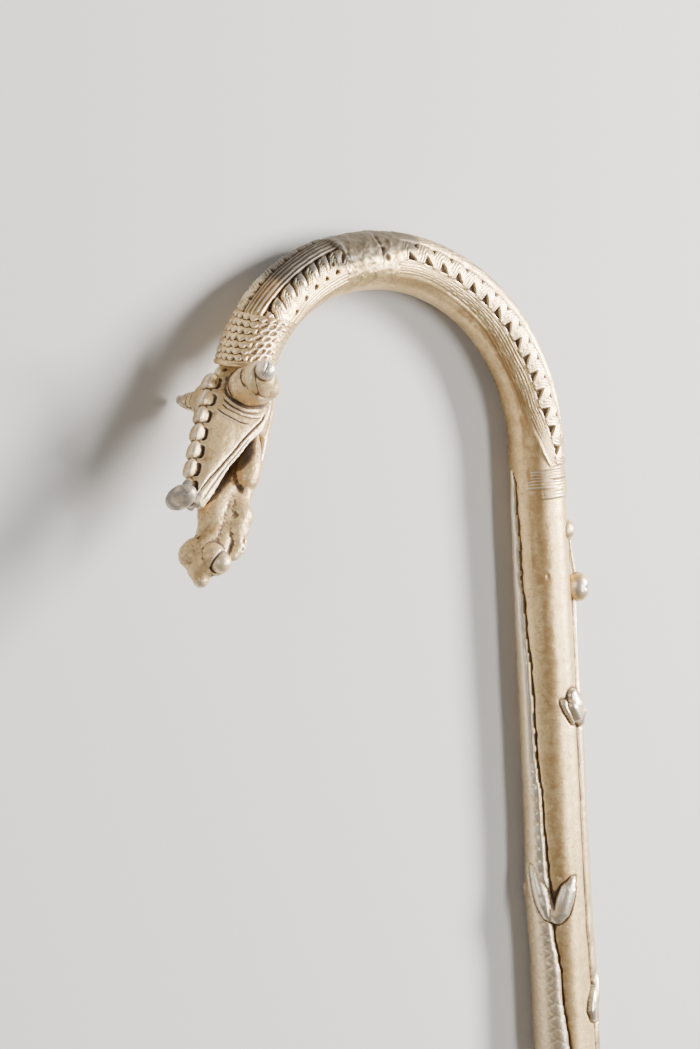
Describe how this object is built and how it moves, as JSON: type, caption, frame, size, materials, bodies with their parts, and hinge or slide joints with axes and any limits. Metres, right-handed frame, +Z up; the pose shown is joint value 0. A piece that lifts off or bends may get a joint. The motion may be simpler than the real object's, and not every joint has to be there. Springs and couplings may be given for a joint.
{
  "type": "ceremonial staff",
  "caption": "Cast metal crook staff with a serpent's head that holds a frog, carved bands along the crook and lizard-like creatures in relief along the shaft.",
  "frame": {"origin": "bottom centre of the bounding box, on the floor that the staff lies on", "axes": "+Y from the foot to the top of the crook, +X from the crook's opening to the shaft, +Z up, from the underside to the side with the near eye"},
  "size_m": [0.2446, 1.201, 0.0695],
  "materials": {
    "copper_alloy": "cast copper alloy with a pale cream patina, brown in the recesses and polished silvery on the knobs"
  },
  "bodies": {
    "root": {"staff": "copper_alloy"}
  },
  "joints": []
}
